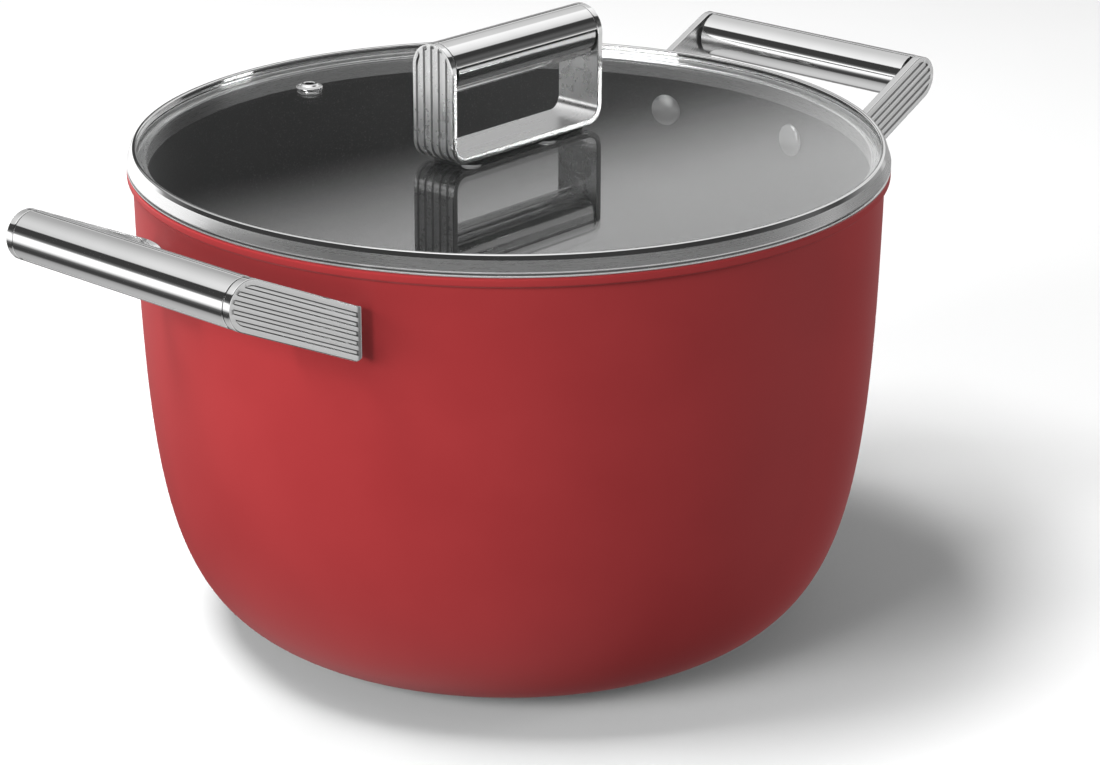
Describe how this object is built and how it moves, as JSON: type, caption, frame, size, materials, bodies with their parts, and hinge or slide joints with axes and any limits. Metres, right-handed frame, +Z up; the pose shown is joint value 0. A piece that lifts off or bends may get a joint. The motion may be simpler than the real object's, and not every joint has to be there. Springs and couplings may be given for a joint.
{
  "type": "stock pot",
  "caption": "Round deep cooking pot with a flat glass lid in a steel rim, a bridge knob, a steam vent and bar side handles on ribbed steel arms.",
  "frame": {"origin": "centre of the face that the pot stands on", "axes": "+Z up along the pot's axis; +X from the left side handle to the right one, along the lid's knob; +Y to the rear, where the steam vent is"},
  "size_m": [0.3726, 0.272, 0.2215],
  "materials": {
    "red_enamel": "matte",
    "dark_coating": "satin",
    "satin_steel": "satin",
    "polished_steel": "polished",
    "base_steel": "satin",
    "lid_glass": "gloss",
    "silicone": "matte"
  },
  "bodies": {
    "pot": {"pot_body": "red_enamel", "induction_base": "base_steel", "right_grip_shell": "polished_steel", "right_grip_insert": "polished_steel", "right_grip_core": "satin_steel", "right_front_arm": "satin_steel", "right_rear_arm": "satin_steel", "right_front_rivet": "satin_steel", "right_rear_rivet": "satin_steel", "left_grip_shell": "polished_steel", "left_grip_insert": "polished_steel", "left_grip_core": "satin_steel", "left_front_arm": "satin_steel", "left_rear_arm": "satin_steel", "left_front_rivet": "satin_steel", "left_rear_rivet": "satin_steel"},
    "lid": {"lid_glass": "lid_glass", "lid_rim": "satin_steel", "vent_eyelet": "polished_steel", "knob_strap": "satin_steel", "knob_gasket": "silicone", "knob_grip_shell": "polished_steel", "knob_grip_insert": "polished_steel", "knob_grip_core": "satin_steel", "knob_left_washer": "silicone", "knob_left_screw": "satin_steel", "knob_right_washer": "silicone", "knob_right_screw": "satin_steel"}
  },
  "joints": [
    {"name": "lid_lift", "type": "slide", "parent": "pot", "child": "lid", "axis": [0, 0, 1], "range_m": [0, 0.15]}
  ]
}
